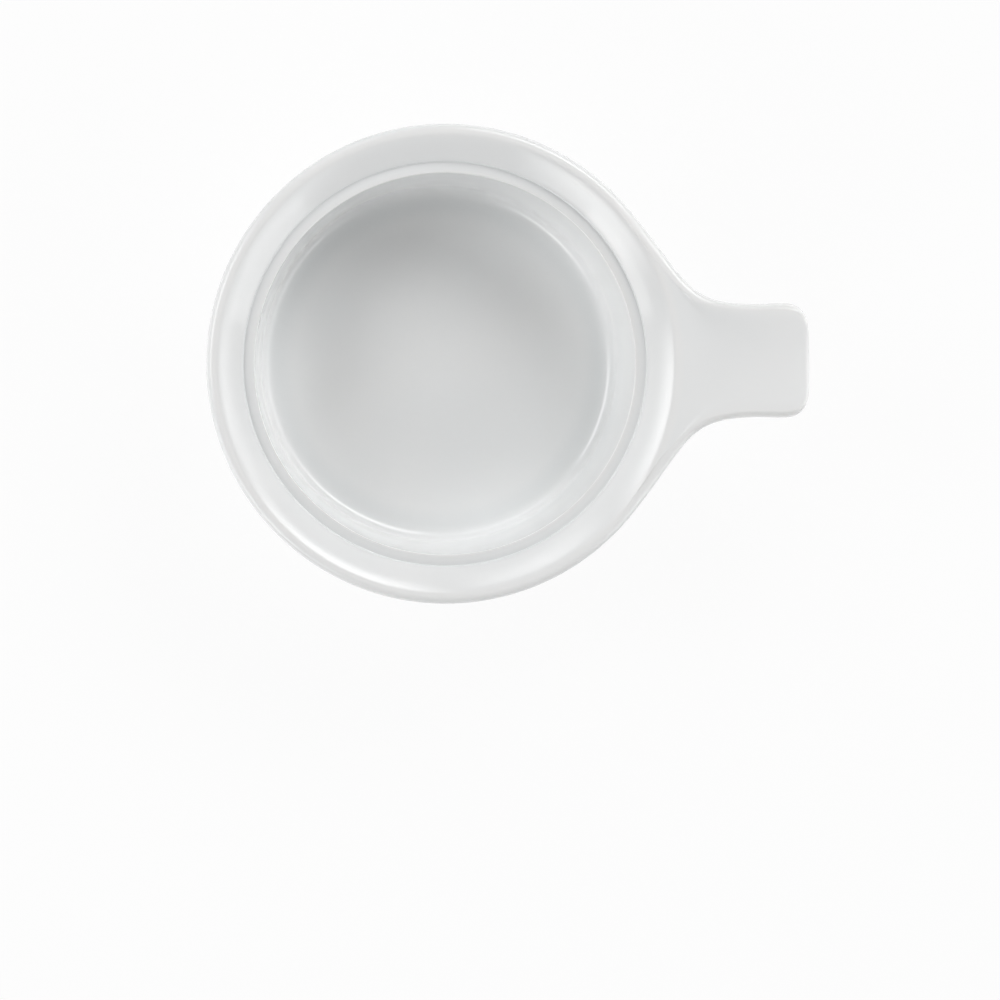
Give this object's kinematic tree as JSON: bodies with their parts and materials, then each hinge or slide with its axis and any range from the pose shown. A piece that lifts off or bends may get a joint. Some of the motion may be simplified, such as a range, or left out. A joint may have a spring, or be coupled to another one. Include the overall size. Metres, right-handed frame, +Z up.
{
  "type": "handled casserole dish",
  "caption": "Round white glazed china casserole dish with a flared rim, a lid ledge inside it, a solid tab handle that rises from the rim and a bare foot ring.",
  "frame": {"origin": "on the bowl's axis, in the plane that the foot ring stands on, 1 mm below the middle of the bowl's flat underside", "axes": "+X along the handle, from the bowl's axis to the tip; +Z up along the bowl's axis; +Y completes the right-handed frame, across the handle"},
  "size_m": [0.1885, 0.15, 0.0508],
  "materials": {
    "white_glaze": "clear glossy glaze over cool white china",
    "bare_china": "unglazed, ground smooth, matt"
  },
  "bodies": {
    "root": {"bowl": "white_glaze", "handle": "white_glaze", "foot_ring": "bare_china"}
  },
  "joints": []
}
